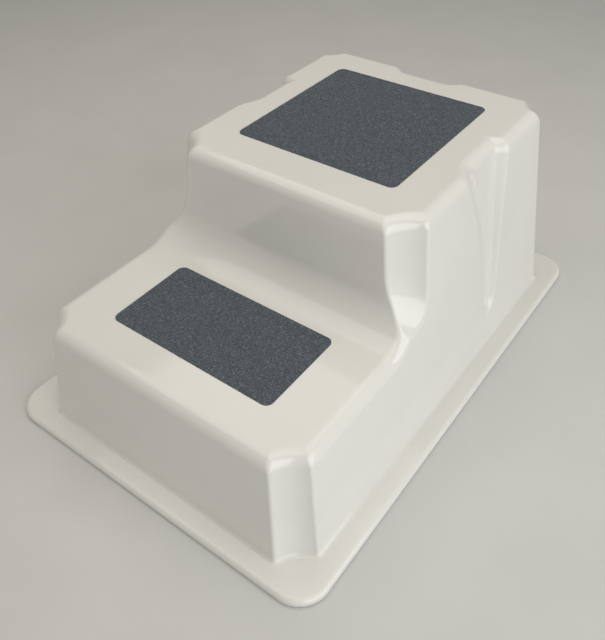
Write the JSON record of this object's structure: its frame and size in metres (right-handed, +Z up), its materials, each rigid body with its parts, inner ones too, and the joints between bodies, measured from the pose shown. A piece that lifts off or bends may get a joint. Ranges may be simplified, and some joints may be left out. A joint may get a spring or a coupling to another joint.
{
  "type": "spa steps",
  "caption": "Free-standing moulded spa steps with two treads, grit grip pads, coved corners, stacking channels and a perimeter flange.",
  "frame": {"origin": "on the floor under the middle of the flange's length and width", "axes": "+Z up; -Y is the side that is climbed from, +Y the tall back; +X to the right of a person climbing"},
  "size_m": [0.635, 0.93, 0.3797],
  "materials": {
    "gelcoat": "glossy off-white gelcoat",
    "grit": "charcoal mineral grit",
    "plywood": "raw exterior plywood",
    "laminate": "rough hand-laid resin laminate",
    "rubber": "matt black rubber"
  },
  "bodies": {
    "root": {"step_shell": "gelcoat", "lower_grip_pad": "grit", "upper_grip_pad": "grit", "lower_tread_panel": "plywood", "upper_tread_panel": "plywood", "lower_panel_overlay": "laminate", "upper_panel_overlay": "laminate", "foot_front_left": "rubber", "foot_front_right": "rubber", "foot_middle_left": "rubber", "foot_middle_right": "rubber", "foot_back_left": "rubber", "foot_back_right": "rubber"}
  },
  "joints": []
}
